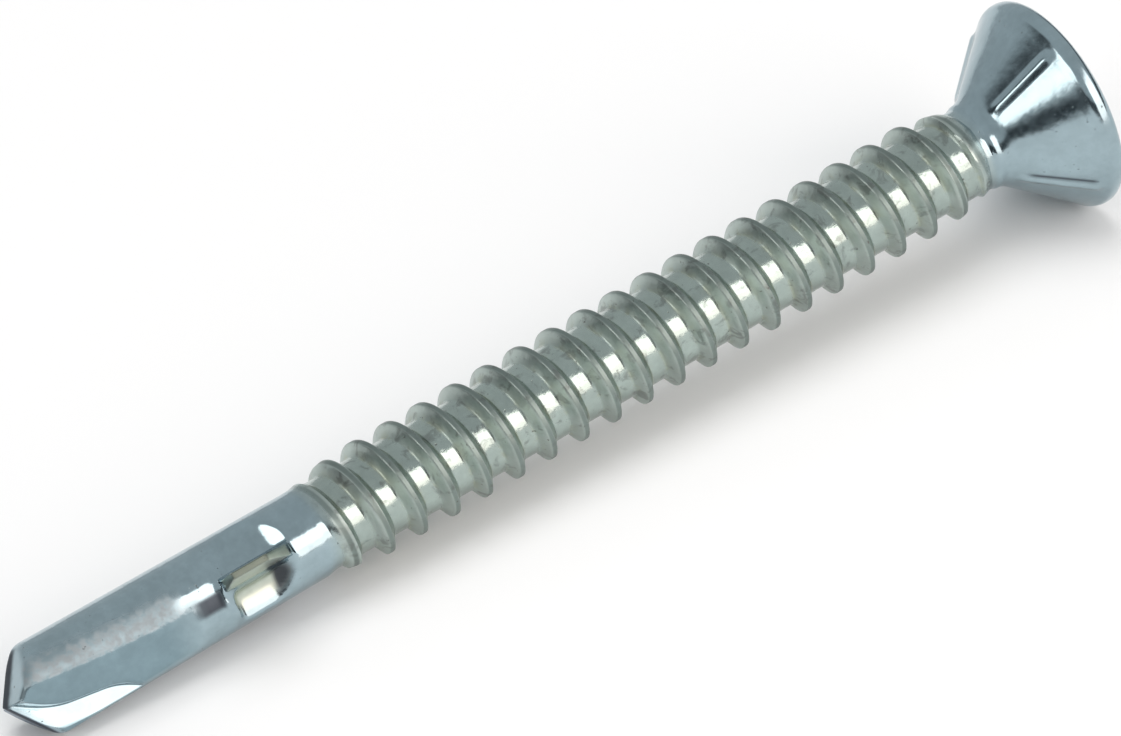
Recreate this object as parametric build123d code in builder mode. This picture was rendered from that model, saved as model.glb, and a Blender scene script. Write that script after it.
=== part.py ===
from build123d import *

import os
from math import acos, atan, atan2, cos, hypot, radians, sin, tan

# Wing-tip self drilling screw with a ribbed countersunk head, thread size ST5.5.
#
# One piece of steel wire, cold forged and thread rolled. It is built along its own axis, with the drill
# point at the origin and the head towards +Z. It is then laid down as it comes to rest on a flat surface:
# on the rim of its head, the land of its drill point and the corner of one wing.
# All sizes are in millimetres and all angles in degrees.

# ---------------------------------------------------------------- driving dimensions
overall_length = 59.0

# Countersunk head
head_diameter = 10.6
countersink_angle = 80.0
rim_land = 0.75
rim_under_radius = 0.6
rim_top_radius = 0.45
neck_diameter = 4.34
neck_fillet_radius = 1.1

# Cutting ribs under the head
rib_count = 4
rib_turn = -23.5
rib_start_radius = 2.45
rib_end_radius = 4.85
rib_start_width = 0.66
rib_end_width = 0.82
rib_start_height = 0.12
rib_end_height = 0.20
rib_sink = 0.15

# Cross recess, number 3
recess_diameter = 6.6
recess_bottom_diameter = 3.8
recess_flank_angle = 26.5
recess_bottom_angle = 153.0
recess_wing_width = 1.9
recess_core_diameter = 3.4
recess_turn = 20.0

# Rolled thread
thread_diameter = 5.28
thread_root_diameter = 4.08
thread_pitch = 1.8
thread_angle = 60.0
thread_crest_width = 0.14
thread_sink = 0.15
thread_start_from_tip = 16.8
thread_start_turn = 278.0
run_in_length = 2.4
run_out_length = 2.2

# Neck, plain shank and drill section
neck_length = 0.6
neck_rise_length = 0.12
shank_diameter = 4.27
shank_step_length = 0.5
drill_diameter = 4.56

# Drill point
point_angle = 108.0
point_relief_angle = 10.5
web_thickness = 0.84
flute_length = 7.2
flute_bend_from_tip = 5.1
flute_edge_at_tip = -0.25
flute_edge_at_shoulder = 1.00
flute_edge_at_bend = 1.45
flute_shoulder_from_tip = 1.9
flute_edge_radius = 2.5
flute_root_radius = 0.10
heel_turn = 36.0
heel_distance_at_tip = 1.46
heel_distance_at_end = 1.84
heel_length = 9.4
heel_run_out_length = 1.2

# Reaming wings and the pockets pinched beside them
wing_span = 8.0
wing_face_offset = 0.20
wing_crest_width = 0.30
wing_back_draft = 0.20
wing_start_from_tip = 11.0
wing_root_length = 3.75
wing_front_slope = 0.05
wing_back_slope = 1.0
pocket_turn = 13.0
pocket_floor_distance = 1.28
pocket_floor_start = 11.48
pocket_ramp_end = 12.7
pocket_floor_end = 13.77
pocket_start_slope = 0.24
pocket_ramp_slope = 2.0
pocket_end_slope = 1.23

# ---------------------------------------------------------------- derived sizes
head_radius = head_diameter / 2
neck_radius = neck_diameter / 2
half_countersink = radians(countersink_angle / 2)
rim_start = overall_length - rim_land
neck_end = rim_start - (head_radius - neck_radius) / tan(half_countersink)
neck_start = neck_end - neck_length

crest_radius = thread_diameter / 2
root_radius = thread_root_diameter / 2
foot_radius = root_radius - thread_sink
thread_height = crest_radius - root_radius

shank_radius = shank_diameter / 2
shank_end = thread_start_from_tip - shank_step_length
drill_radius = drill_diameter / 2
half_point = radians(point_angle / 2)
relief = radians(point_relief_angle)
half_web = web_thickness / 2
corner_from_tip = drill_radius / tan(half_point)

wing_radius = wing_span / 2
wing_rise = wing_radius - shank_radius

# Each rounding is held within the straight wall that it runs into.
wall_share = 0.9
neck_wall = neck_length - neck_rise_length
neck_fillet = min(neck_fillet_radius, wall_share * neck_wall / tan(half_countersink / 2))
rim_under_wall = rim_land / 3
rim_top_wall = rim_land - rim_under_wall
rim_under = min(rim_under_radius, wall_share * rim_under_wall / tan(half_countersink / 2))
rim_top = min(rim_top_radius, wall_share * rim_top_wall)


def threaded_shank():
    """The thread root with one right-hand ridge rolled on it, lower where the ridge starts and ends."""
    ridge_depth = thread_height + thread_sink
    half_crest = thread_crest_width / 2
    half_base = half_crest + ridge_depth * tan(radians(thread_angle / 2))
    ridge_start = thread_start_from_tip - thread_pitch
    ridge_length = neck_start - thread_start_from_tip + 2 * thread_pitch
    core_overlap = 2 * half_base
    run_in_slope = thread_height / run_in_length
    run_out_slope = thread_height / run_out_length
    over_crest = crest_radius + thread_sink
    over_crest_start = thread_start_from_tip + (over_crest - root_radius) / run_in_slope
    over_crest_end = neck_start - (over_crest - root_radius) / run_out_slope
    with BuildPart() as shank:
        with BuildLine():
            lead = Helix(thread_pitch, ridge_length, foot_radius, center=(0, 0, ridge_start))
        with BuildSketch(Plane(origin=lead @ 0, x_dir=(1, 0, 0), z_dir=lead % 0)):
            with BuildLine():
                Polyline(
                    (0, -half_base),
                    (ridge_depth, -half_crest),
                    (ridge_depth, half_crest),
                    (0, half_base),
                    close=True,
                )
            make_face()
        sweep(path=lead, is_frenet=True)
        with BuildSketch(Plane.XY.offset(ridge_start - core_overlap)):
            Circle(root_radius)
        extrude(amount=ridge_length + 2 * core_overlap)
        with BuildSketch(Plane.XZ):
            with BuildLine():
                Polyline(
                    (0, ridge_start - core_overlap),
                    (foot_radius, ridge_start - core_overlap),
                    (foot_radius, thread_start_from_tip - thread_sink / run_in_slope),
                    (over_crest, over_crest_start),
                    (over_crest, over_crest_end),
                    (foot_radius, neck_start + thread_sink / run_out_slope),
                    (foot_radius, ridge_start + ridge_length + core_overlap),
                    (0, ridge_start + ridge_length + core_overlap),
                    close=True,
                )
            make_face()
        revolve(axis=Axis.Z, mode=Mode.INTERSECT)
    return shank.part.rotate(Axis.Z, thread_start_turn)


def point_blank():
    """The turned drill section and plain shank, down to the step where the thread root starts."""
    with BuildPart() as blank:
        with BuildSketch(Plane.XZ):
            with BuildLine():
                Polyline(
                    (0, 0),
                    (drill_radius, 0),
                    (drill_radius, corner_from_tip),
                    (shank_radius, shank_end),
                    (root_radius, thread_start_from_tip),
                    (0, thread_start_from_tip),
                    close=True,
                )
            make_face()
        revolve(axis=Axis.Z)
    return blank.part


def head_blank():
    """The turned neck and countersunk head."""
    with BuildPart() as blank:
        with BuildSketch(Plane.XZ) as half_section:
            with BuildLine():
                Polyline(
                    (0, neck_start),
                    (root_radius, neck_start),
                    (neck_radius, neck_start + neck_rise_length),
                    (neck_radius, neck_end),
                    (head_radius, rim_start),
                    (head_radius, overall_length),
                    (0, overall_length),
                    close=True,
                )
            make_face()
            for radius, station, rounding in (
                (neck_radius, neck_end, neck_fillet),
                (head_radius, rim_start, rim_under),
                (head_radius, overall_length, rim_top),
            ):
                corner = half_section.vertices().sort_by_distance((radius, station, 0))[0]
                fillet(corner, rounding)
        revolve(axis=Axis.Z)
    return blank.part


def under_head_rib():
    """One cutting rib: a wedge on the countersink that grows wider and taller towards the rim."""
    along = Vector(sin(half_countersink), 0, cos(half_countersink))
    outward = Vector(cos(half_countersink), 0, -sin(half_countersink))
    with BuildPart() as rib:
        for radius, width, height in (
            (rib_start_radius, rib_start_width, rib_start_height),
            (rib_end_radius, rib_end_width, rib_end_height),
        ):
            station = neck_end + (radius - neck_radius) / tan(half_countersink)
            with BuildSketch(Plane(origin=(radius, 0, station), x_dir=outward, z_dir=along)):
                with BuildLine():
                    Polyline(
                        (-rib_sink, -width / 2),
                        (0, -width / 2),
                        (height, 0),
                        (0, width / 2),
                        (-rib_sink, width / 2),
                        close=True,
                    )
                make_face()
        loft(ruled=True)
    return rib.part


def cross_recess():
    """The drive: four tapered wings round a core, with a flat conical bottom."""
    flank_depth = (recess_diameter - recess_bottom_diameter) / 2 / tan(radians(recess_flank_angle))
    bottom_depth = recess_bottom_diameter / 2 / tan(radians(recess_bottom_angle / 2))
    wing_floor = overall_length - flank_depth
    with BuildPart() as recess:
        for turn in (recess_turn, recess_turn + 90):
            with BuildSketch(Plane.XZ.rotated((0, 0, turn))):
                with BuildLine():
                    Polyline(
                        (-recess_diameter / 2, overall_length),
                        (-recess_bottom_diameter / 2, wing_floor),
                        (0, wing_floor - bottom_depth),
                        (recess_bottom_diameter / 2, wing_floor),
                        (recess_diameter / 2, overall_length),
                        close=True,
                    )
                make_face()
            extrude(amount=recess_wing_width / 2, both=True)
        with BuildSketch(Plane.XY.offset(overall_length)):
            Circle(recess_core_diameter / 2)
        extrude(amount=-flank_depth)
    return recess.part


def flute():
    """One flute: a flat rake face beside the web, closed by a wall that swings out to the surface."""
    outside = drill_diameter
    with BuildPart() as cutter:
        with BuildSketch(Plane.YZ.offset(half_web)):
            with BuildLine():
                edge = FilletPolyline(
                    (2 * flute_edge_at_tip - flute_edge_at_shoulder, -flute_shoulder_from_tip),
                    (flute_edge_at_shoulder, flute_shoulder_from_tip),
                    (flute_edge_at_bend, flute_bend_from_tip),
                    (outside, flute_length + outside - drill_radius),
                    radius=flute_edge_radius,
                )
                Polyline(edge @ 1, (outside, -flute_shoulder_from_tip), edge @ 0)
            make_face()
        extrude(amount=drill_diameter)
        wall_foot = cutter.edges().filter_by_position(Axis.X, half_web, half_web)
        wall_foot = wall_foot.sort_by(Axis.Y)[:-2]
        fillet(wall_foot, flute_root_radius)
    return cutter.part


def heel_cut():
    """What falls away from one land towards its heel: a flat that runs out before the wings."""
    run_out_slope = (drill_radius - heel_distance_at_end) / heel_run_out_length
    reach = drill_diameter
    with BuildPart() as cut:
        with BuildSketch(Plane.XZ.rotated((0, 0, heel_turn))):
            with BuildLine():
                Polyline(
                    (heel_distance_at_tip, 0),
                    (heel_distance_at_end, heel_length),
                    (reach, heel_length + (reach - heel_distance_at_end) / run_out_slope),
                    (reach, 0),
                    close=True,
                )
            make_face()
        extrude(amount=drill_diameter, both=True)
    return cut.part


def pocket(turn, floor_start, start_slope, wing_side):
    """The hollow that the dies press beside one side of a wing, down to a flat turned away from it."""
    reach = drill_diameter
    rise = reach - pocket_floor_distance
    with BuildPart() as hollow:
        with BuildSketch(Plane.XZ.rotated((0, 0, turn))):
            with BuildLine():
                Polyline(
                    (pocket_floor_distance, floor_start),
                    (reach, floor_start - start_slope * rise),
                    (reach, pocket_floor_end + pocket_end_slope * rise),
                    (pocket_floor_distance, pocket_floor_end),
                    close=True,
                )
            make_face()
        extrude(amount=drill_diameter, both=True)
        split(bisect_by=wing_side, keep=Keep.TOP)
    return hollow.part


def wing():
    """One reaming wing: a flat cutting face, and a slanted back that makes it thicker at the foot."""
    front = wing_start_from_tip
    back = wing_start_from_tip + wing_root_length
    front_set = wing_front_slope * wing_rise
    back_set = wing_back_slope * wing_rise
    with BuildPart() as blade:
        with BuildSketch(Plane.XZ.offset(wing_face_offset)):
            with BuildLine():
                Polyline(
                    (0, front),
                    (shank_radius, front),
                    (wing_radius, front + front_set),
                    (wing_radius, back - back_set),
                    (shank_radius, back),
                    (0, back),
                    close=True,
                )
            make_face()
        extrude(amount=-drill_diameter)
        split(bisect_by=wing_back, keep=Keep.BOTTOM)
    return blade.part


def resting_plane():
    """The screw's own frame as it lies: tilted by its head, and rolled until a wing meets the ground."""
    rim_contact = rim_start + rim_under * tan(half_countersink / 2)
    tilt = atan((head_radius - drill_radius) / (rim_contact - corner_from_tip))
    wing_front = wing_start_from_tip + wing_front_slope * wing_rise
    ground_at_wing = drill_radius + (wing_front - corner_from_tip) * tan(tilt)
    wing_corner = hypot(wing_radius, wing_face_offset)
    roll = atan2(wing_face_offset, wing_radius) + acos(min(1.0, ground_at_wing / wing_corner))
    wing_up = (-cos(roll) * sin(tilt), -sin(roll), cos(roll) * cos(tilt))
    return Plane(origin=(0, 0, 0), x_dir=wing_up, z_dir=(cos(tilt), 0, sin(tilt)))


threaded = threaded_shank()
point_end = point_blank()
head_end = head_blank()
ribs = [under_head_rib().rotate(Axis.Z, rib_turn + index * 360 / rib_count) for index in range(rib_count)]
wing_face = Plane(origin=(0, -wing_face_offset, 0), z_dir=(0, -1, 0))
wing_back = Plane(
    origin=(wing_radius, wing_crest_width - wing_face_offset, 0), z_dir=(wing_back_draft, 1, 0)
)
near_pockets = [
    pocket(pocket_turn, pocket_floor_start, pocket_start_slope, wing_back),
    pocket(-pocket_turn, pocket_ramp_end, pocket_ramp_slope, wing_face),
]
pockets = near_pockets + [hollow.rotate(Axis.Z, 180) for hollow in near_pockets]
wings = [wing(), wing().rotate(Axis.Z, 180)]
flutes = [flute(), flute().rotate(Axis.Z, 180)]
heels = [heel_cut(), heel_cut().rotate(Axis.Z, 180)]
facets = [Vector(-side * tan(relief), side / tan(half_point), 1) for side in (1, -1)]
drive = cross_recess()

with BuildPart() as forging:
    add(threaded)
    add(point_end)
    add(head_end)
    add(flutes, mode=Mode.SUBTRACT)
    add(heels, mode=Mode.SUBTRACT)
    for facet in facets:
        split(bisect_by=Plane(origin=(0, 0, 0), z_dir=facet), keep=Keep.TOP)
    add(pockets, mode=Mode.SUBTRACT)
    add(wings)
    add(ribs)
    add(drive, mode=Mode.SUBTRACT)

laid = forging.part.moved(resting_plane().location)
box = laid.bounding_box()
seat = Location((-box.center().X, -box.center().Y, -box.min.Z))
with BuildPart() as screw:
    add(laid.moved(seat))

screw.part.label = "screw"
os.makedirs("parts", exist_ok=True)
export_step(screw.part, "parts/screw.step")
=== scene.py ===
"""Looks for the wing-tip self drilling screw: one fine mesh for the whole forging, its zinc finish,
the floor, the lights and the camera. Sizes are in millimetres and angles in radians, unless named so."""
from math import acos, atan, atan2, cos, hypot, pi, radians, sin, tan

import bpy
import numpy as np
from mathutils import Matrix, Vector


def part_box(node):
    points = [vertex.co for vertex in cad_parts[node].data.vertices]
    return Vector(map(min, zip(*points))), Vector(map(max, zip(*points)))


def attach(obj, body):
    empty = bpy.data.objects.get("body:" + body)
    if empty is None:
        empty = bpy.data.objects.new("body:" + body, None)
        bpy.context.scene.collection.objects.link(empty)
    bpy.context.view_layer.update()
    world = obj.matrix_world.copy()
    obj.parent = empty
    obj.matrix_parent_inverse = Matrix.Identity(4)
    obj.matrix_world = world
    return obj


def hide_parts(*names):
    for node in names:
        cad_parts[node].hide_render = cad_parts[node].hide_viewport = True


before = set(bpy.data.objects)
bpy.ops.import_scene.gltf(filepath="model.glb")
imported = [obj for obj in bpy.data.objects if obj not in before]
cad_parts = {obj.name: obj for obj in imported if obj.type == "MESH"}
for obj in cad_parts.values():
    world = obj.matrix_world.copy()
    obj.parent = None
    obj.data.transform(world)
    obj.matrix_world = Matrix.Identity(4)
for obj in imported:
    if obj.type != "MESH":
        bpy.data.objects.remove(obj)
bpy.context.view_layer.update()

MM = 0.001

# ---------------------------------------------------------------- sizes of the screw
overall_length = 59.0
head_radius = 5.3
half_countersink = radians(40.0)
rim_land = 0.75
rim_under_radius = 0.6
rim_top_radius = 0.45
neck_radius = 2.17
neck_length = 0.6
neck_rise = 0.15
neck_blend = 0.34

rib_angles = [radians(-113.5) + index * pi / 2 for index in range(4)]
rib_radii = (2.40, 4.95)
rib_widths = (0.66, 0.82)
rib_heights = (0.12, 0.20)
rib_end_slope = 1.0
rib_top_share = 0.9
rib_edge_blend = 0.2
rib_foot_blend = 0.16

recess_radius = 3.3
recess_bottom_radius = 1.9
recess_flank = radians(26.5)
recess_floor_drop = 0.46
recess_half_wing = 0.95
recess_core_radius = 1.7
recess_turn = radians(20.0)
recess_blend = 0.12

crest_radius = 2.64
root_radius = 2.04
thread_pitch = 1.8
half_flank = radians(30.0)
half_crest = 0.13
crest_blend = 0.05
root_blend = 0.18
crest_station = 19.006
run_in = (16.2, 19.3)
run_in_power = 0.8
run_out = (51.2, 53.6)
run_out_power = 0.6
run_end_depth = 0.05

shank_radius = 2.135
shank_end = 16.3
thread_start = 16.8
drill_radius = 2.28
half_point = radians(54.0)
relief = radians(10.5)
half_web = 0.42
flute_edge_at_tip = -0.15
flute_edge_slopes = (0.65, 0.15, 0.71)
flute_shoulder = (1.9, 1.05)
flute_bend = (5.1, 1.50)
flute_bend_blend = 0.45
flute_root_blend = 0.08
lip_blend = 0.10
point_blend = 0.45
lip_point_blend = 0.10
chisel_rounding = 0.02
land_drop = 0.20
land_start = radians(-38.0)
land_back = (radians(42), radians(82))
land_fade = (10.5, 11.0)
heel_direction = radians(36.0)
heel_twist = radians(22.0)
heel_twist_span = (8.9, 9.9)
heel_distance_at_tip = 1.35
heel_distance_slope = 0.115
heel_distance_sag = 0.0065
heel_run_out = (9.0, 10.7)
heel_run_out_rise = 0.57
heel_lift_slope = 3
heel_blend = 0.14
corner_from_tip = drill_radius / tan(half_point)

wing_radius = 4.0
wing_face = 0.20
wing_crest = 0.10
wing_relief = 0.20
wing_stations = (11.0, 14.75)
wing_front_slope = 0.05
wing_back_slope = 1.0
wing_blend = 0.08
wing_root_blend = 0.16
pocket_floor = 1.06
pocket_middle = 1.1
pocket_tilt = tan(radians(13.0))
pocket_head_end = 13.77
pocket_head_slope = 1.2
pocket_tip_end = 11.48
pocket_tip_slope = 0.23
pocket_ramp_end = 12.7
pocket_ramp_slope = 2.0
pocket_shut_slope = 4
pocket_blend = 0.10
pocket_foot_blend = 0.55
pocket_corner_blend = 0.45

PLAIN_ZINC = (0.345, 0.445, 0.485, 1)
ROLLED_ZINC = (0.385, 0.460, 0.430, 1)
# Lighter zinc on the thread's flanks: a painted sheen that stands in for the band of highlight along the
# thread.
FLANK_SHEEN_ZINC = (0.450, 0.520, 0.490, 1)
# Darker zinc on the thread's crests: painted shade that dims the highlights along them.
CREST_SHADE_ZINC = (0.215, 0.262, 0.245, 1)
# Darker zinc on the flats towards the lands' heels: painted shade that dims the floor's reflection in them.
HEEL_SHADE_ZINC = (0.231, 0.325, 0.366, 1)
STAINED_ZINC = (0.115, 0.118, 0.112, 1)
# Near-black zinc: painted shade along the far lip of the point, on the drill section's shoulder, at the head
# end of the wing's pocket and along the foot of one rib.
PAINTED_SHADE_ZINC = (0.060, 0.068, 0.082, 1)
FROSTED_ZINC = (0.480, 0.530, 0.550, 1)
# Dark blue zinc on one of the two point facets: painted shade.
FACET_SHADE_ZINC = (0.120, 0.175, 0.250, 1)
YELLOW_CHROMATE = (0.38, 0.40, 0.27, 1)
PALE_ZINC = (0.62, 0.66, 0.55, 1)
# Darker zinc on the wings' outer edges: partly their sheared edge, partly painted shade that dims the
# highlight on them.
SHEARED_AND_SHADED_ZINC = (0.22, 0.25, 0.21, 1)
PIT_DARK = (0.10, 0.09, 0.08, 1)
FLOOR_WHITE = (0.93, 0.93, 0.93, 1)
STUDIO_DARK = (0.055, 0.062, 0.068, 1)
STUDIO_LIGHT = (0.57, 0.59, 0.60, 1)
FRONT_WARM = (1.0, 0.89, 0.84)
LEFT_WARM = (1.0, 0.94, 0.89)

rim_start = overall_length - rim_land
neck_end = rim_start - (head_radius - neck_radius) / tan(half_countersink)
neck_start = neck_end - neck_length
flank_foot = half_crest + (crest_radius - root_radius) * tan(half_flank)

# ---------------------------------------------------------------- mesh density: columns
columns = 128
half_turn_columns = columns // 2
first_column = radians(-119.0)
to_wing_columns = (6.4, 9.6)
to_even_columns = (14.7, 16.0)
to_rib_columns = (neck_end - 0.1, neck_end + 0.7)
edge_share = 0.97
land_gap = 0.03
root_gap = 0.01
middle_share = 0.25
parting_gaps = (0.5, 0.1)
wing_top_share = 1.02
brim_share = 0.8
rib_skirt = 1.4
recess_wing_cosine = 0.1
tiny = 1e-3

# ---------------------------------------------------------------- mesh density: rows
outline_station = 0.25
outline_halvings = 40
fan_station = 2.6
fan_reach = 3.0
point_shares = (0.1, 0.25, 0.42, 0.6, 0.75, 0.86, 0.93, 0.97, 1.0)
wall_shares = (0.02, 0.05, 0.09, 0.15, 0.22, 0.3, 0.38, 0.47, 0.56, 0.65, 0.74, 0.83, 0.92)
rim_station = 57.9
rim_gap = 0.02
slant_start = (14.95, 16.05)
slant_end = (51.3, 54.0)
drill_rows = ((fan_station, 7.4, 0.16), (7.5, 10.6, 0.25))
wing_front_rows = [10.70, 10.78, 10.86, 10.93, 10.98, 11.00, 11.02, 11.05, 11.08, 11.11]
wing_rows = ((11.17, 15.0, 0.085), (15.0, slant_start[1], 0.05))
neck_rows = ((slant_end[0], slant_end[1], 0.085), (slant_end[1], rim_station, 0.13))
crest_rows = [0.05, 0.10, 0.13, 0.17, 0.26]
fillet_rows = [flank_foot - 0.04, flank_foot + 0.02, flank_foot + 0.12]
thread_turns = range(-3, 22)
shank_reach = 7.0
halvings = 34
same_level = 1e-6
face_shares = (0.12, 0.3, 0.5, 0.7, 0.86, 0.96)
recess_margin = 0.06
recess_edge = [(0.05, 0.0), (0.02, 0.02), (0.0, 0.06)]
recess_wall_shares = (0.08, 0.2, 0.35, 0.5, 0.65, 0.8, 0.92, 0.98, 1)
recess_floor_shares = (0.96, 0.88, 0.7, 0.45, 0.2)
sharp_angle = radians(38)


# ---------------------------------------------------------------- smooth solids
def smooth_max(a, b, blend):
    """The larger of two fields, rounded where they meet."""
    share = np.maximum(blend - np.abs(a - b), 0) / blend
    return np.maximum(a, b) + share * share * blend / 4


def smooth_min(a, b, blend):
    return -smooth_max(-a, -b, blend)


def smooth_step(value, start, end):
    share = np.clip((value - start) / (end - start), 0, 1)
    return share * share * (3 - 2 * share)


def angle_between(angle, other):
    return (angle - other + pi) % (2 * pi) - pi


def cone_radius(station):
    return head_radius - (rim_start - station) * tan(half_countersink)


def from_crest(station, angle):
    """Distance along the axis from the middle of the nearest thread crest."""
    phase = station - crest_station - thread_pitch * angle / (2 * pi)
    return np.abs((phase + thread_pitch / 2) % thread_pitch - thread_pitch / 2)


def thread_radius(station, angle):
    """The rolled ridge: straight flanks, a rounded crest, and lower turns where it starts and ends."""
    offset = from_crest(station, angle)
    flank = crest_radius + half_crest / tan(half_flank) - offset / tan(half_flank)
    low = root_radius - run_end_depth
    rise = np.clip((station - run_in[0]) / (run_in[1] - run_in[0]), 0, 1)
    fall = np.clip((run_out[1] - station) / (run_out[1] - run_out[0]), 0, 1)
    top = low + (crest_radius - low) * np.minimum(rise ** run_in_power, fall ** run_out_power)
    return smooth_min(flank, top, crest_blend)


def rib_share(radius):
    """How far along the ribs a place on the cone lies."""
    return np.clip((radius - rib_radii[0]) / (rib_radii[1] - rib_radii[0]), 0, 1)


def rib_width(radius):
    return rib_widths[0] + (rib_widths[1] - rib_widths[0]) * rib_share(radius)


def rib_rise(station, angle):
    """How far the under-head ribs stand out from the cone, along the radius."""
    radius = cone_radius(station)
    share = rib_share(radius)
    width = rib_width(radius)
    height = rib_heights[0] + (rib_heights[1] - rib_heights[0]) * share
    height = np.minimum(height, np.maximum(radius - rib_radii[0], 0) * rib_end_slope)
    height = np.minimum(height, np.maximum(rib_radii[1] - radius, 0) * rib_end_slope)
    across = np.min([np.abs(angle_between(angle, rib)) for rib in rib_angles], axis=0) * radius
    section = smooth_min(1 - 2 * across / width, 0 * across + rib_top_share, rib_edge_blend)
    return height * smooth_max(section, 0 * across, rib_foot_blend) / cos(half_countersink)


def heel_distance(station):
    """How far the flat towards the heel of a land lies from the axis."""
    station = np.clip(station, 0, heel_run_out[1])
    return heel_distance_at_tip + heel_distance_slope * station - heel_distance_sag * station ** 2


def heel_facing(station):
    """Direction in which the flat towards the heel of a land faces."""
    return heel_direction - heel_twist * smooth_step(station, *heel_twist_span)


def heel_reach(station):
    """The same flat's distance from the axis with its run-out."""
    rise = heel_run_out_rise * smooth_step(station, *heel_run_out)
    lift = heel_lift_slope * np.maximum(station - heel_run_out[1], 0)
    return heel_distance(station) + rise + lift


def parting_angle(station):
    """Where the ridge between the two die marks on a land runs."""
    return heel_direction - np.arccos(heel_distance(station) / (drill_radius - land_drop))


def land_angle(angle):
    """Angle round the axis, the same for both lands."""
    return (angle + pi / 2) % pi - pi / 2


def land_relief(station, angle):
    """How far the land falls inside the drill's circle towards its heel."""
    own = land_angle(angle)
    share = np.clip((own - land_start) / (parting_angle(station) - land_start), 0, 1)
    away = smooth_step(own, *land_back)
    along = 1 - smooth_step(station, *land_fade)
    return land_drop * share * share * (1 - away) * along


def body_radius(station, angle):
    """Outer radius of the turned and rolled blank at a station and an angle round the axis."""
    stations = (corner_from_tip, shank_end, thread_start, neck_start, neck_start + neck_rise)
    radii = (drill_radius, shank_radius, root_radius, root_radius, neck_radius)
    blank = np.interp(station, stations, radii) - land_relief(station, angle)
    threaded = smooth_max(blank, thread_radius(station, angle), root_blend)
    return smooth_max(threaded, cone_radius(station), neck_blend) + rib_rise(station, angle)


def flute_edge(station):
    """Height of the flute's wall over the web's middle plane."""
    lip = flute_edge_at_tip + flute_edge_slopes[0] * station
    middle = flute_shoulder[1] + flute_edge_slopes[1] * (station - flute_shoulder[0])
    run_up = flute_bend[1] + flute_edge_slopes[2] * (station - flute_bend[0])
    return smooth_max(smooth_min(lip, middle, flute_bend_blend), run_up, flute_bend_blend)


def facet_slope(x, y):
    """Station of the two point facets' own planes, above zero on one and below it on the other."""
    return tan(relief) * x - y / tan(half_point)


def facet_height(x, y):
    """Station of the two point facets over a place across the axis."""
    slope = facet_slope(x, y)
    return np.sqrt(slope * slope + chisel_rounding ** 2)


def wing_back_side(u):
    """Height over the wing's middle plane of its slanted back, which its die left thicker at the foot."""
    return wing_crest + wing_relief * (wing_radius - u)


def steel(x, y, z, pointed=True):
    """Signed field of the whole point, shank and thread: below zero inside the steel."""
    angle = np.arctan2(y, x)
    field = np.hypot(x, y) - body_radius(z, angle)
    facets = (facet_height(x, y) - z) / hypot(hypot(tan(relief), 1 / tan(half_point)), 1)
    along_heel = x * np.cos(heel_facing(z)) + y * np.sin(heel_facing(z))
    field = smooth_max(field, np.abs(along_heel) - heel_reach(z), heel_blend)
    if pointed:
        field = smooth_max(field, facets, point_blend)
    for side in (1, -1):
        u, v = side * x, side * y
        flute = smooth_max(half_web - u, flute_edge(z) - v, flute_root_blend)
        field = smooth_max(field, -flute, lip_blend)
        depth = u + pocket_tilt * (np.abs(v) - pocket_middle) - pocket_floor
        back = (z - pocket_head_end - pocket_head_slope * depth) / hypot(1, pocket_head_slope)
        front = pocket_tip_end - pocket_tip_slope * depth - z
        ramp = (pocket_ramp_end - pocket_ramp_slope * depth - z) / hypot(1, pocket_ramp_slope)
        starts = np.where(v > 0, smooth_min(front, ramp, pocket_blend), ramp)
        ends = smooth_max(starts, back, pocket_corner_blend)
        walls = smooth_max(-depth, ends, pocket_corner_blend)
        before_wing = pocket_shut_slope * np.maximum(wing_stations[0] - z, 0)
        faces = smooth_max(walls, v + wing_face - before_wing, pocket_blend)
        backs = smooth_max(walls, wing_back_side(u) - v - before_wing, pocket_foot_blend)
        hollow = np.minimum(faces, backs)
        field = smooth_max(field, -hollow, pocket_blend)
        rise = u - shank_radius
        ahead = wing_stations[0] + wing_front_slope * rise - z
        behind = z - wing_stations[1] + wing_back_slope * rise
        span = np.maximum(ahead, behind)
        sides = np.maximum(v - wing_back_side(u), -wing_face - v)
        blade = smooth_max(smooth_max(sides, u - wing_radius, wing_blend), span, wing_blend)
        blade = np.maximum(blade, -u)
        field = smooth_min(field, blade, wing_root_blend)
    if pointed:
        field = smooth_max(field, facets, lip_point_blend)
    return field


def surface_along(origin, direction, reach, pointed=True):
    """First place where rays that start inside the steel come out of it."""
    near = np.zeros(direction.shape[:-1])
    far = np.full(direction.shape[:-1], reach)
    for _ in range(halvings):
        middle = (near + far) / 2
        place = origin + direction * middle[..., None]
        inside = steel(place[..., 0], place[..., 1], place[..., 2], pointed) < 0
        near = np.where(inside, middle, near)
        far = np.where(inside, far, middle)
    return origin + direction * near[..., None]


# ---------------------------------------------------------------- columns of the mesh
def column_weights(counts, spacing):
    """Weights that spread columns between neighbouring knots, closer together beside each knot."""
    weights = np.zeros((sum(counts), len(counts) + 1))
    row = 0
    for segment, count in enumerate(counts):
        for step in range(count):
            share = step / count
            eased = (1 - cos(pi * share)) / 2
            share = share + (eased - share) * spacing
            weights[row, segment] = 1 - share
            weights[row, segment + 1] = share
            row += 1
    return weights


drill_weights = column_weights((6, 6, 14, 26, 12), 0.8)
wing_weights = column_weights((12, 13, 10, 4, 16, 9), 0.6)
rib_weights = column_weights((2, 4, 4, 2, 20), 0.3)
recess_weights = column_weights((3, 7, 12, 7, 3), 0.5)


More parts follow.
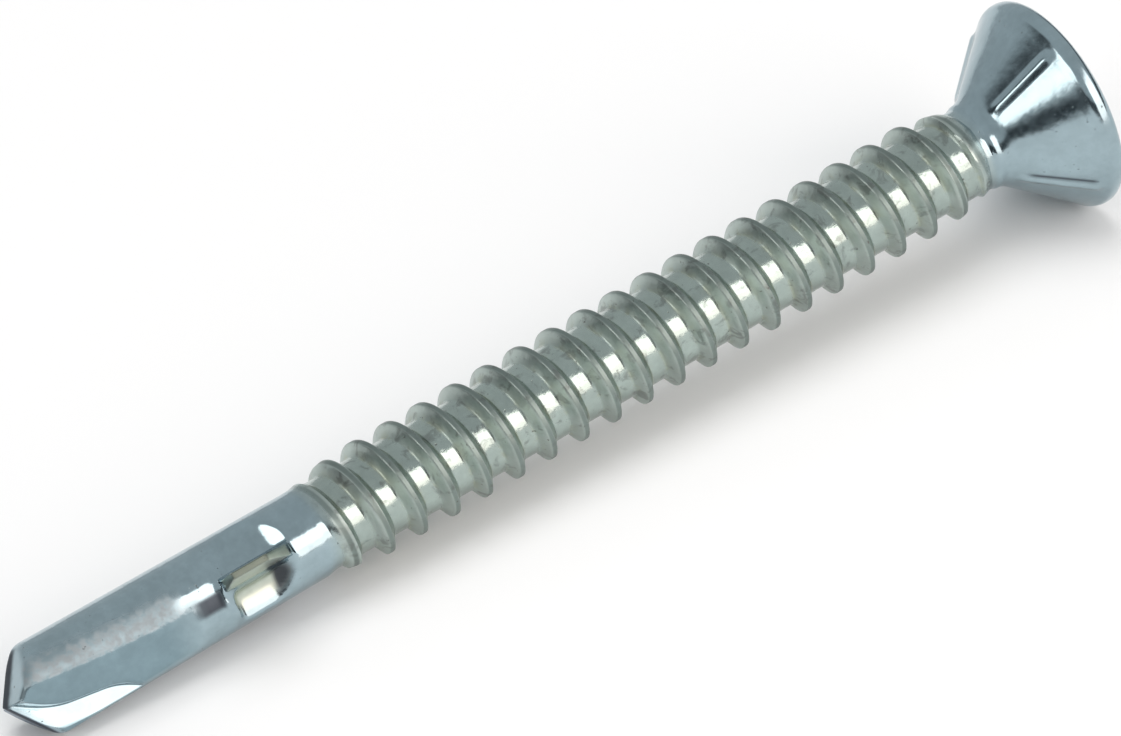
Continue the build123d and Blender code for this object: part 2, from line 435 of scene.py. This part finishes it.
def drill_columns(station):
    """Angles of half a turn of columns that follow the flute's edges, for stations along the last axis."""
    edge = np.minimum(flute_edge(station), drill_radius * edge_share)
    facing = heel_facing(station)
    corner = (heel_reach(station) - edge * np.sin(facing)) / np.cos(facing)
    land = np.arctan2(edge, np.minimum(np.sqrt(drill_radius ** 2 - edge ** 2), corner))
    lip = acos(half_web / drill_radius)
    land = np.minimum(land, lip - land_gap)
    root = np.minimum(np.arctan2(edge, half_web), lip - root_gap)
    root = np.maximum(root, land + root_gap)
    ridge = atan(tan(relief) * tan(half_point))
    inset = middle_share * (root - land)
    middle = np.clip(ridge, land + inset, root - inset)
    parting = np.clip(parting_angle(station) + pi, lip + parting_gaps[0], land + pi - parting_gaps[1])
    return np.stack([land, middle, root, lip + 0 * land, parting, land + pi], axis=-1)


def wing_columns(station):
    """Angles of half a turn of columns that follow the wing's corners, for stations along the last axis."""
    top = shank_radius + (wing_stations[1] - station) / wing_back_slope
    top = np.clip(top, wing_top_share * shank_radius, wing_radius)
    face_crest = np.arctan2(wing_face, top)
    back_crest = np.arctan2(wing_back_side(top), top)
    face_foot = atan2(wing_face, pocket_floor) + 0 * top
    back_foot = atan2(wing_back_side(pocket_floor), pocket_floor) + 0 * top
    brim = acos(pocket_floor * brim_share / shank_radius) + 0 * top
    near_side = [brim, pi - brim, pi - face_foot, pi - face_crest]
    return np.stack(near_side + [pi + back_crest, pi + back_foot, pi + brim], axis=-1)


def half_columns(station):
    """Angles of half a turn of columns at one station before the thread."""
    station = np.broadcast_to(station, (half_turn_columns,))
    drill = np.sum(drill_columns(station) * drill_weights, axis=-1)
    wing = np.sum(wing_columns(station) * wing_weights, axis=-1)
    even = first_column + pi + pi * np.arange(half_turn_columns) / half_turn_columns
    to_wing = smooth_step(station, *to_wing_columns)
    to_even = smooth_step(station, *to_even_columns)
    return (drill * (1 - to_wing) + wing * to_wing) * (1 - to_even) + even * to_even


def full_turn(half):
    return np.concatenate([half - pi, half])


def quarter_turns(weights, knots):
    quarter = weights @ knots
    return np.concatenate([quarter + index * pi / 2 for index in range(4)])


def head_columns(station):
    even = first_column + 2 * pi * np.arange(columns) / columns
    radius = cone_radius(station)
    half_rib = rib_width(radius) / 2 / max(radius, rib_radii[0])
    knots = half_rib * np.array([-rib_skirt, -1, 0, 1, rib_skirt, -rib_skirt])
    knots[-1] += pi / 2
    ribbed = [rib_weights @ (knots + rib) for rib in rib_angles]
    grown = smooth_step(station, *to_rib_columns)
    return even * (1 - grown) + np.concatenate(ribbed) * grown


def recess_columns():
    """Columns that follow the corners of the drive recess."""
    corner = atan2(recess_half_wing, recess_radius)
    inner = np.arcsin(recess_half_wing / recess_core_radius)
    centre = recess_turn - pi / 2
    knots = centre + np.array([-pi / 4, -inner, -corner, corner, inner, pi / 4])
    return quarter_turns(recess_weights, knots)


# ---------------------------------------------------------------- rows of the mesh
def on_circle(radius, angle, station):
    """Places at a radius, an angle round the axis and a station."""
    return np.stack([radius * np.cos(angle), radius * np.sin(angle), station + 0 * angle], axis=-1)


def point_rows():
    """Rows from the middle of the point over its facets, then up the lands and flutes."""
    edge = full_turn(half_columns(outline_station))
    ray = on_circle(1, edge, 0)
    near, far = np.zeros(columns), np.full(columns, drill_radius)
    for _ in range(outline_halvings):
        middle = (near + far) / 2
        x, y = ray[:, 0] * middle, ray[:, 1] * middle
        height = np.abs(facet_slope(x, y))
        inside = steel(x, y, height, pointed=False) < 0
        near = np.where(inside, middle, near)
        far = np.where(inside, far, middle)
    outline = ray * near[:, None]
    outline[:, 2] = np.abs(facet_slope(outline[:, 0], outline[:, 1]))
    origin = np.array([0, 0, fan_station])
    rows = []
    for share in point_shares:
        rows.append(surface_along(origin, outline * share - origin, fan_reach))
    for share in wall_shares:
        station = outline[:, 2] + (fan_station - outline[:, 2]) * share
        knots = drill_columns(station.reshape(2, half_turn_columns))
        angle = np.sum(knots * drill_weights, axis=-1)
        angle = np.concatenate([angle[0] - pi, angle[1]])
        axis_place = on_circle(0, angle, station)
        wall = surface_along(axis_place, on_circle(1, angle, 0), shank_reach, pointed=False)
        rows.append(surface_along(origin, wall - origin, fan_reach))
    return rows


def thread_stations():
    """Stations of rows along one pitch, closer together over the crest and in the root fillets."""
    beside = crest_rows + fillet_rows
    offsets = sorted([-value for value in beside] + [0.0] + beside + [thread_pitch / 2])
    first = crest_station + thread_pitch * first_column / (2 * pi)
    stations = []
    for turn in thread_turns:
        stations += [first + turn * thread_pitch + offset for offset in offsets]
    return stations


def evenly(stretches):
    """Stations at even steps along stretches given by start, end and step."""
    return [station for stretch in stretches for station in np.arange(*stretch)]


def shank_rows():
    """Rows from the drill section to the rim, which follow the thread's helix along the shank."""
    turns = [station for station in thread_stations() if slant_start[1] < station < slant_end[0]]
    stations = evenly(drill_rows) + wing_front_rows + evenly(wing_rows) + turns + evenly(neck_rows)
    rows, keys = [], []
    for station in stations:
        if station < slant_start[1]:
            angle = full_turn(half_columns(station))
        else:
            angle = head_columns(station)
        up = smooth_step(station, *slant_start)
        down = 1 - np.clip((station - slant_end[0]) / (slant_end[1] - slant_end[0]), 0, 1)
        slant = thread_pitch * min(up, down)
        height = station + slant * (angle - first_column) / (2 * pi)
        rows.append(surface_along(on_circle(0, angle, height), on_circle(1, angle, 0), shank_reach))
        keys.append((station, height[-1] + slant / columns))
    return rows, keys


def rim_rows():
    """Rows round the rim: the rounding under it, its land, and the rounding on top."""
    under = rim_start + rim_under_radius * tan(half_countersink / 2)
    top = overall_length - rim_top_radius
    roundings = (
        (rim_under_radius, under, half_countersink - pi / 2, 0, 7),
        (rim_top_radius, top, 0, pi / 2, 8),
    )
    profile = []
    for rounding, station, first_turn, last_turn, count in roundings:
        for turn in np.linspace(first_turn, last_turn, count):
            profile.append((head_radius - rounding + rounding * cos(turn), station + rounding * sin(turn)))
    angle = head_columns(rim_station)
    lowest = rim_station + rim_gap
    return [on_circle(radius, angle, station) for radius, station in profile if station > lowest]


def recess_radius_at(angle, depth):
    """Outline of the drive recess at a depth under the head's face."""
    reach = recess_radius - depth * tan(recess_flank)
    outline = np.full(angle.shape, recess_core_radius)
    for index in range(4):
        off = angle_between(angle, recess_turn + index * pi / 2)
        facing = np.maximum(np.cos(off), tiny)
        side = recess_half_wing / np.maximum(np.abs(np.sin(off)), tiny)
        wing = smooth_min(reach / facing, side, recess_blend)
        wing = np.where(np.cos(off) > recess_wing_cosine, wing, 0)
        outline = smooth_max(outline, wing, recess_blend)
    return outline


def face_rows():
    """Rows over the head's flat face and down into the drive recess, to its middle."""
    start, end = head_columns(rim_station), recess_columns()
    rim = head_radius - rim_top_radius
    rows = []
    for share in face_shares:
        angle = start + (end - start) * share
        radius = rim + (recess_radius_at(end, 0) + recess_margin - rim) * share
        rows.append(on_circle(radius, angle, overall_length))
    depth_end = (recess_radius - recess_bottom_radius) / tan(recess_flank)
    walls = [(0, share * depth_end) for share in recess_wall_shares]
    for grow, depth in recess_edge + walls:
        rows.append(on_circle(recess_radius_at(end, depth) + grow, end, overall_length - depth))
    bottom = recess_radius_at(end, depth_end)
    for share in recess_floor_shares:
        station = overall_length - depth_end - recess_floor_drop * (1 - share)
        rows.append(on_circle(bottom * share, end, station))
    return rows, overall_length - depth_end - recess_floor_drop


def grid_faces(first_row, last_row, closed):
    """Quads between neighbouring rows. Where they close, the last column joins the first one."""
    low = np.arange(first_row, last_row)[:, None] * columns
    high = low + columns
    column = np.arange(columns if closed else columns - 1)[None, :]
    after = (column + 1) % columns
    corners = [low + column, low + after, high + after, high + column]
    return np.stack(np.broadcast_arrays(*corners), axis=-1).reshape(-1, 4).tolist()


def seam_faces(first_row, keys):
    """Faces between the last and the first column where their rows lie at different stations."""
    left = [key[1] for key in keys]
    right = [key[0] for key in keys]
    faces, i, j, last = [], 0, 0, len(keys) - 1
    while i < last or j < last:
        on_left = (first_row + i + 1) * columns - 1
        on_right = (first_row + j) * columns
        level = i < last and j < last and abs(left[i + 1] - right[j + 1]) < same_level
        if level:
            faces.append([on_left, on_right, on_right + columns, on_left + columns])
            i, j = i + 1, j + 1
        elif j == last or (i < last and left[i + 1] < right[j + 1]):
            faces.append([on_left, on_right, on_left + columns])
            i += 1
        else:
            faces.append([on_left, on_right, on_right + columns])
            j += 1
    return faces


def screw_mesh():
    """Points and faces of the screw, in its own frame."""
    point = point_rows()
    shank, keys = shank_rows()
    face, floor_station = face_rows()
    rim = rim_rows()
    rows = point + shank + rim + face
    points = np.concatenate(rows)
    first_shank = len(point)
    last_shank = len(point) + len(shank) - 1
    faces = grid_faces(0, first_shank, True)
    faces += grid_faces(first_shank, last_shank, False)
    faces += seam_faces(first_shank, keys)
    faces += grid_faces(last_shank, len(rows) - 1, True)
    tip = surface_along(np.array([0, 0, fan_station]), np.array([[0, 0, -1.0]]), fan_reach)
    points = np.concatenate([points, tip, [[0, 0, floor_station]]])
    tip_index, floor_index = len(points) - 2, len(points) - 1
    last_row = (len(rows) - 1) * columns
    for column in range(columns):
        after = (column + 1) % columns
        faces.append([tip_index, after, column])
        faces.append([floor_index, last_row + column, last_row + after])
    return points, faces


# ---------------------------------------------------------------- how the screw lies
def resting_axes():
    """The screw's own x, y and z axes as it lies on its rim, a land and the corner of one wing."""
    rim_contact = rim_start + rim_under_radius * tan(half_countersink / 2)
    tilt = atan((head_radius - drill_radius) / (rim_contact - corner_from_tip))
    wing_front = wing_stations[0] + wing_front_slope * (wing_radius - shank_radius)
    ground_at_wing = drill_radius + (wing_front - corner_from_tip) * tan(tilt)
    roll = atan2(wing_face, wing_radius) + acos(ground_at_wing / hypot(wing_radius, wing_face))
    x_axis = Vector((-cos(roll) * sin(tilt), -sin(roll), cos(roll) * cos(tilt)))
    z_axis = Vector((cos(tilt), 0, sin(tilt)))
    return x_axis, z_axis.cross(x_axis), z_axis


# ---------------------------------------------------------------- where the finish, the painted shade and the painted sheen change
# Each pair gives the soft start and end of a change: stations, radii, angles or distances in the steel.
rolled_start, rolled_end = (16.2, 17.6), (52.6, 54.2)
head_start = (53.5, 55.0)
crest_edge = (0.08, 0.16)
flank_edge = (-0.06, 0.04)
fillet_middle, fillet_width = 0.01, 0.08
frost_before_parting = (radians(-40), radians(-20))
frost_after_parting = (radians(-3), radians(2))
frost_stations = (8.3, 9.3)
land_radii = (1.85, 2.0)
under_facets = (0.03, 0.15)
ground_depth = (0.1, 0.6)
# Places of painted shade: a band along the point's far lip, the drill section's shoulder and the head end of
# the wing's pocket.
far_lip_band = (0.60, 1.00)
shoulder_angles = (radians(3), radians(9)), (radians(25), radians(33))
shoulder_stations = (9.1, 9.9), (10.75, 10.9)
hollow_end_stations = (13.45, 13.75)
hollow_radii = (1.75, 2.10)
wing_zone = (10.9, 11.0), (14.8, 15.0)
# Reach of the wings' sheared edge, which also carries painted shade.
sheared_radii = (3.80, 3.95)
pocket_radii = (1.6, 2.0)
wing_radii = (2.3, 2.5)
pocket_first_angle = -0.05
# Band and fade of the painted shade on the heel flats.
on_heel = (0.03, 0.09)
heel_fade = (7.5, 10.0)
# The rib along whose foot a line of painted shade runs, the line's width and its reach.
creased_rib = rib_angles[2]
crease_width = 0.09
crease_radii = (2.6, 3.0), (4.7, 4.95)


def between(value, start, end):
    """One inside two soft limits and zero outside them."""
    return smooth_step(value, *start) * (1 - smooth_step(value, *end))


def surface_marks(points):
    """How strongly each kind of finish, painted shade and painted sheen shows at the points of the mesh."""
    x, y, station = points.T
    angle, radius = np.arctan2(y, x), np.hypot(x, y)
    own = land_angle(angle)
    at_wings = between(station, *wing_zone)

    threaded = between(station, rolled_start, rolled_end)
    offset = from_crest(station, angle)
    past_foot = offset - flank_foot
    groove = np.exp(-((past_foot - fillet_middle) / fillet_width) ** 2)
    beside_crest = smooth_step(offset, *crest_edge)
    flank = (1 - smooth_step(past_foot, *flank_edge)) * beside_crest

    past_parting = own - parting_angle(station)
    frosted = between(past_parting, frost_before_parting, frost_after_parting)
    frosted = frosted * (1 - smooth_step(station, *frost_stations)) * smooth_step(radius, *land_radii)

    over_facets = station - facet_height(x, y)
    at_facets = 1 - smooth_step(over_facets, *under_facets)
    side = -np.sign(facet_slope(x, y))
    # Painted shade: along the far lip of the point facets, on the shoulder where the drill section ends, at
    # the head end of the wing's pocket and along the foot of one rib.
    far_edge = at_facets * (1 - smooth_step(half_web - x * side, *far_lip_band))
    shoulder = between(own, *shoulder_angles) * between(station, *shoulder_stations)
    hollow_end = between(station, hollow_end_stations, wing_zone[1])
    hollow_end = hollow_end * (1 - smooth_step(radius, *hollow_radii)) * (own > 0)
    from_rib = angle_between(angle, creased_rib) * radius + rib_width(cone_radius(station)) / 2
    head = smooth_step(station, *head_start)
    crease = np.exp(-(from_rib / crease_width) ** 2) * between(radius, *crease_radii) * head
    pinched = np.max([far_edge, shoulder, hollow_end, crease], axis=0)

    pocket = np.maximum(1 - smooth_step(radius, *pocket_radii), smooth_step(radius, *wing_radii))
    facing = heel_facing(station)
    off_heel = np.abs(np.abs(x * np.cos(facing) + y * np.sin(facing)) - heel_reach(station))
    return {
        "threaded": threaded,
        "groove": groove * threaded,
        # Thread flanks, which get the lighter painted-sheen zinc.
        "flank": flank * threaded,
        # Thread crests, which get the darker painted-shade zinc.
        "crest": (1 - beside_crest) * threaded,
        "frosted": frosted,
        "head": head,
        "pinched": pinched,
        # The wings' outer edges: sheared, and darkened with painted shade.
        "sheared_and_shaded": smooth_step(radius, *sheared_radii) * at_wings,
        "pocket": pocket * at_wings * (own > pocket_first_angle),
        # One of the two point facets, darkened with painted shade.
        "facet_shade": at_facets * (side > 0),
        "ground": 1 - smooth_step(over_facets, *ground_depth),
        # Flats towards the lands' heels, which get darker painted-shade zinc.
        "heel": (1 - smooth_step(off_heel, *on_heel)) * (1 - smooth_step(station, *heel_fade)),
    }


def make_screw():
    """The screw's object, laid where the CAD's node lies, and the shift that took it there."""
    points, faces = screw_mesh()
    marks = surface_marks(points)
    axes = np.array(resting_axes())
    laid = points @ axes
    low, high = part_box("screw")
    low, high = np.array(low) / MM, np.array(high) / MM
    shift = (low + high) / 2 - (laid.min(0) + laid.max(0)) / 2
    shift[2] = low[2] - laid[:, 2].min()
    mesh = bpy.data.meshes.new("zinc_screw")
    mesh.from_pydata(((laid + shift) * MM).tolist(), [], faces)
    mesh.validate()
    mesh.shade_smooth()
    mesh.set_sharp_from_angle(angle=sharp_angle)
    own = mesh.attributes.new("own_mm", "FLOAT_VECTOR", "POINT")
    own.data.foreach_set("vector", points.astype(np.float32).ravel())
    for name, values in marks.items():
        mark = mesh.attributes.new(name, "FLOAT", "POINT")
        mark.data.foreach_set("value", values.astype(np.float32))
    screw = bpy.data.objects.new("zinc_screw", mesh)
    bpy.context.scene.collection.objects.link(screw)
    screw.data.materials.append(zinc_finish(marks))
    return screw, shift


# ---------------------------------------------------------------- materials
swell_height = 0.024
dimple_height = 0.004
rolled_dimple_height = 0.011
frosted_dimple_height = 0.016
grain_height = 0.0008
frosted_grain_height = 0.002
pit_depth = 0.008


class Nodes:
    """A few shorthands for building the nodes of a material or of the world."""

    def __init__(self, owner, shader):
        owner.use_nodes = True
        self.tree = owner.node_tree
        self.shader = self.tree.nodes[shader]

    def add(self, kind, **settings):
        node = self.tree.nodes.new(kind)
        for name, value in settings.items():
            setattr(node, name, value)
        return node

    def feed(self, socket, value):
        if isinstance(value, bpy.types.NodeSocket):
            self.tree.links.new(value, socket)
        else:
            socket.default_value = value

    def math(self, operation, first, second=0.0, clamp=False):
        node = self.add("ShaderNodeMath", operation=operation, use_clamp=clamp)
        self.feed(node.inputs[0], first)
        self.feed(node.inputs[1], second)
        return node.outputs[0]

    def span(self, value, low, high, to_low=0.0, to_high=1.0):
        """A value's place between two limits, eased, laid over a range of its own."""
        node = self.add("ShaderNodeMapRange", interpolation_type="SMOOTHSTEP")
        for socket, number in zip(node.inputs, (value, low, high, to_low, to_high)):
            self.feed(socket, number)
        return node.outputs[0]

    def blend(self, share, first, second, mode="MIX"):
        node = self.add("ShaderNodeMix", data_type="RGBA", blend_type=mode)
        self.feed(node.inputs[0], share)
        self.feed(node.inputs[6], first)
        self.feed(node.inputs[7], second)
        return node.outputs[2]

    def noise(self, places, size, detail=3.0, rough=0.55, warp=0.0):
        """Noise with features of a size in millimetres."""
        node = self.add("ShaderNodeTexNoise")
        self.feed(node.inputs["Vector"], places)
        node.inputs["Scale"].default_value = 1 / size
        node.inputs["Detail"].default_value = detail
        node.inputs["Roughness"].default_value = rough
        node.inputs["Distortion"].default_value = warp
        return node.outputs["Fac"]

    def attribute(self, name, output):
        return self.add("ShaderNodeAttribute", attribute_name=name).outputs[output]


def zinc_finish(mark_names):
    """Bright zinc plating: blue-grey where it is plain, duller and yellow-green on the rolled stretch. It
    has painted sheen on the thread's flanks and painted shade on its crests, the heel flats, the wings'
    edges, one point facet and a few corners and creases.
    """
    material = bpy.data.materials.new("zinc_plating")
    work = Nodes(material, "Principled BSDF")
    places = work.attribute("own_mm", "Vector")
    mark = {name: work.attribute(name, "Fac") for name in mark_names}

    patches = work.noise(places, size=1.9, detail=2.0)
    mottle = work.noise(places, size=0.42, detail=4.0, rough=0.62)
    grain = work.noise(places, size=0.11, rough=0.6)
    tint = work.noise(places, size=1.1, rough=0.6, warp=0.8)
    specks = work.noise(places, size=0.24, detail=2.0, rough=0.5)
    stains = work.noise(places, size=0.75, detail=4.0, rough=0.62, warp=0.6)
    swell = work.noise(places, size=1.3, detail=2.0)

    yellow = work.math("MULTIPLY", mark["groove"], work.span(tint, 0.42, 0.66), clamp=True)
    stained = work.math("MULTIPLY", mark["threaded"], work.span(stains, 0.54, 0.68), clamp=True)
    frost = work.math("MULTIPLY", mark["frosted"], work.span(mottle, 0.36, 0.64, 0.1, 1.0))
    layers = (
        # Painted sheen on the thread's flanks.
        (mark["flank"], 0.9, FLANK_SHEEN_ZINC),
        # Painted shade on the thread's crests.
        (mark["crest"], 1.0, CREST_SHADE_ZINC),
        # Painted shade on the heel flats.
        (mark["heel"], 1.0, HEEL_SHADE_ZINC),
        (mark["pocket"], 0.8, PALE_ZINC),
        # Sheared wing edges, partly painted shade.
        (mark["sheared_and_shaded"], 0.9, SHEARED_AND_SHADED_ZINC),
        (yellow, 0.5, YELLOW_CHROMATE),
        (stained, 0.45, STAINED_ZINC),
        (frost, 1.0, FROSTED_ZINC),
        # Painted shade on one point facet.
        (mark["facet_shade"], 0.9, FACET_SHADE_ZINC),
        # Near-black painted shade at the point's far lip, the drill section's shoulder, the pocket's end and
        # one rib's foot.
        (mark["pinched"], 0.95, PAINTED_SHADE_ZINC),
    )
    colour = work.blend(mark["threaded"], PLAIN_ZINC, ROLLED_ZINC)
    for share, strength, zinc in layers:
        colour = work.blend(work.math("MULTIPLY", share, strength), colour, zinc)
    tone = work.span(patches, 0.3, 0.7, 0.94, 1.06)
    tone = work.math("MULTIPLY", tone, work.span(mottle, 0.3, 0.72, 0.95, 1.04))
    shade = work.add("ShaderNodeCombineColor")
    for socket in shade.inputs:
        work.feed(socket, tone)
    colour = work.blend(1.0, colour, shade.outputs[0], "MULTIPLY")
    pit = work.span(specks, 0.69, 0.74)
    pit = work.math("MULTIPLY", pit, work.span(patches, 0.45, 0.6))
    colour = work.blend(work.math("MULTIPLY", pit, 0.7), colour, PIT_DARK)
    work.feed(work.shader.inputs["Base Color"], colour)

    duller = (
        (mark["threaded"], 0.02),
        (mark["flank"], 0.22),
        (mark["frosted"], work.span(mottle, 0.35, 0.65, 0.46, 0.68)),
        (mark["pocket"], 0.20),
        (mark["groove"], 0.16),
        (mark["crest"], 0.28),
        (mark["head"], 0.05),
        (mark["ground"], 0.20),
        (work.math("MAXIMUM", mark["pinched"], mark["sheared_and_shaded"]), 0.35),
    )
    rough = work.span(mottle, 0.3, 0.7, 0.09, 0.15)
    for share, amount in duller:
        rough = work.math("ADD", rough, work.math("MULTIPLY", share, amount))
    work.feed(work.shader.inputs["Roughness"], rough)
    work.shader.inputs["Metallic"].default_value = 1.0

    uneven = work.math("MULTIPLY", mark["threaded"], rolled_dimple_height)
    uneven = work.math("ADD", dimple_height, uneven)
    uneven = work.math("ADD", uneven, work.math("MULTIPLY", mark["frosted"], frosted_dimple_height))
    coarse = work.math("MULTIPLY", mark["frosted"], frosted_grain_height)
    coarse = work.math("ADD", grain_height, coarse)
    height = work.math("MULTIPLY", swell, swell_height)
    height = work.math("ADD", height, work.math("MULTIPLY", mottle, uneven))
    height = work.math("ADD", height, work.math("MULTIPLY", grain, coarse))
    height = work.math("SUBTRACT", height, work.math("MULTIPLY", pit, pit_depth))
    bump = work.add("ShaderNodeBump")
    bump.inputs["Strength"].default_value = 1.0
    bump.inputs["Distance"].default_value = MM
    work.feed(bump.inputs["Height"], height)
    work.feed(work.shader.inputs["Normal"], bump.outputs["Normal"])
    return material


def floor_finish():
    """Plain matt white."""
    material = bpy.data.materials.new("floor_white")
    shader = Nodes(material, "Principled BSDF").shader
    shader.inputs["Base Color"].default_value = FLOOR_WHITE
    shader.inputs["Roughness"].default_value = 0.9
    shader.inputs["Specular IOR Level"].default_value = 0.1
    return material


# ---------------------------------------------------------------- floor, lights and camera
floor_half = 1.5
studio_heights = (0.25, 0.34)
studio_back = (0.50, 0.85)
studio_gap_side = (-0.55, -0.75)
studio_gap_back = (0.10, 0.30)
photo_width = 1121
photo_height = 736
focal_pixels = 10000
sensor_width = 36.0
clip_range = (0.01, 10)
screw_slope_in_view = radians(30.0723)
lean_to_lens = radians(20.0)
marked_station = 32.25
marked_pixel = (591.8, 369.067)
pixels_per_mm = 21.877


def make_floor():
    """A square of plain floor, in metres."""
    corners = [(-1, -1, 0), (1, -1, 0), (1, 1, 0), (-1, 1, 0)]
    mesh = bpy.data.meshes.new("floor")
    mesh.from_pydata([Vector(corner) * floor_half for corner in corners], [], [(0, 1, 2, 3)])
    floor = bpy.data.objects.new("floor", mesh)
    bpy.context.scene.collection.objects.link(floor)
    floor.data.materials.append(floor_finish())


def area_light(name, place, target, width, height, radiance, colour=(1, 1, 1), in_gloss=True):
    """A rectangular light in metres, turned to its target, with a colour and an even radiance."""
    light = bpy.data.lights.new(name, "AREA")
    light.shape = "RECTANGLE"
    light.size, light.size_y = width, height
    light.energy = radiance * pi * width * height
    light.color = colour
    lamp = bpy.data.objects.new(name, light)
    lamp.location = place
    lamp.rotation_euler = (Vector(target) - Vector(place)).to_track_quat("-Z", "Y").to_euler()
    lamp.visible_glossy = in_gloss
    bpy.context.scene.collection.objects.link(lamp)


def make_world():
    """A soft grey studio with a dark low band, which is open at the back and reaches up on the left."""
    world = bpy.data.worlds.new("studio")
    bpy.context.scene.world = world
    work = Nodes(world, "Background")
    split = work.add("ShaderNodeSeparateXYZ")
    work.feed(split.inputs[0], work.add("ShaderNodeTexCoord").outputs["Generated"])
    x, y, z = split.outputs
    gap = work.math("MULTIPLY", work.span(x, *studio_gap_side), work.span(y, *studio_gap_back))
    above = work.math("SUBTRACT", work.span(z, *studio_heights), gap)
    lightest = work.math("MAXIMUM", above, work.span(y, *studio_back))
    work.feed(work.shader.inputs["Color"], work.blend(lightest, STUDIO_DARK, STUDIO_LIGHT))
    work.shader.inputs["Strength"].default_value = 1.0


def make_camera(shift):
    """The camera, placed from how the screw's axis runs through the picture."""
    x_axis, y_axis, z_axis = resting_axes()
    slope, lean = screw_slope_in_view, lean_to_lens
    axis = Vector((cos(lean) * cos(slope), -cos(lean) * sin(slope), sin(lean)))
    to_lens = Vector((0, 0, -1))
    near = (to_lens - axis * to_lens.dot(axis)).normalized()
    down = axis.cross(near)
    seen = Matrix((near, down, axis)).transposed()
    real = Matrix((x_axis, y_axis, z_axis)).transposed()
    turn = real @ seen.inverted()
    distance = focal_pixels / pixels_per_mm
    aside = (marked_pixel[0] - photo_width / 2) / pixels_per_mm
    below = (marked_pixel[1] - photo_height / 2) / pixels_per_mm
    marked = z_axis * marked_station + Vector(shift)
    place = marked - turn @ Vector((aside, below, distance))
    camera = bpy.data.cameras.new("camera")
    camera.sensor_width = sensor_width
    camera.sensor_fit = "HORIZONTAL"
    camera.lens = focal_pixels * sensor_width / photo_width
    camera.clip_start, camera.clip_end = clip_range
    lens = bpy.data.objects.new("camera", camera)
    flip = Matrix(((1, 0, 0), (0, -1, 0), (0, 0, -1)))
    lens.matrix_world = Matrix.Translation(place * MM) @ (turn @ flip).to_4x4()
    bpy.context.scene.collection.objects.link(lens)
    bpy.context.scene.camera = lens


screw, shift = make_screw()
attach(screw, "root")
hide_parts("screw")
make_floor()
make_world()
area_light("front_softbox", (0.21, -0.51, 0.238), (0, 0, 0), 0.6, 0.49, radiance=2.5, colour=FRONT_WARM)
area_light("left_softbox", (-0.50, -0.08, 0.29), (0.03, 0, 0.01), 0.30, 0.17, radiance=2.6, colour=LEFT_WARM)
area_light("top_fill", (0, 0.1, 0.9), (0, 0, 0), 0.7, 0.7, radiance=2.1, in_gloss=False)
make_camera(shift)
bpy.context.scene.view_settings.view_transform = "Standard"
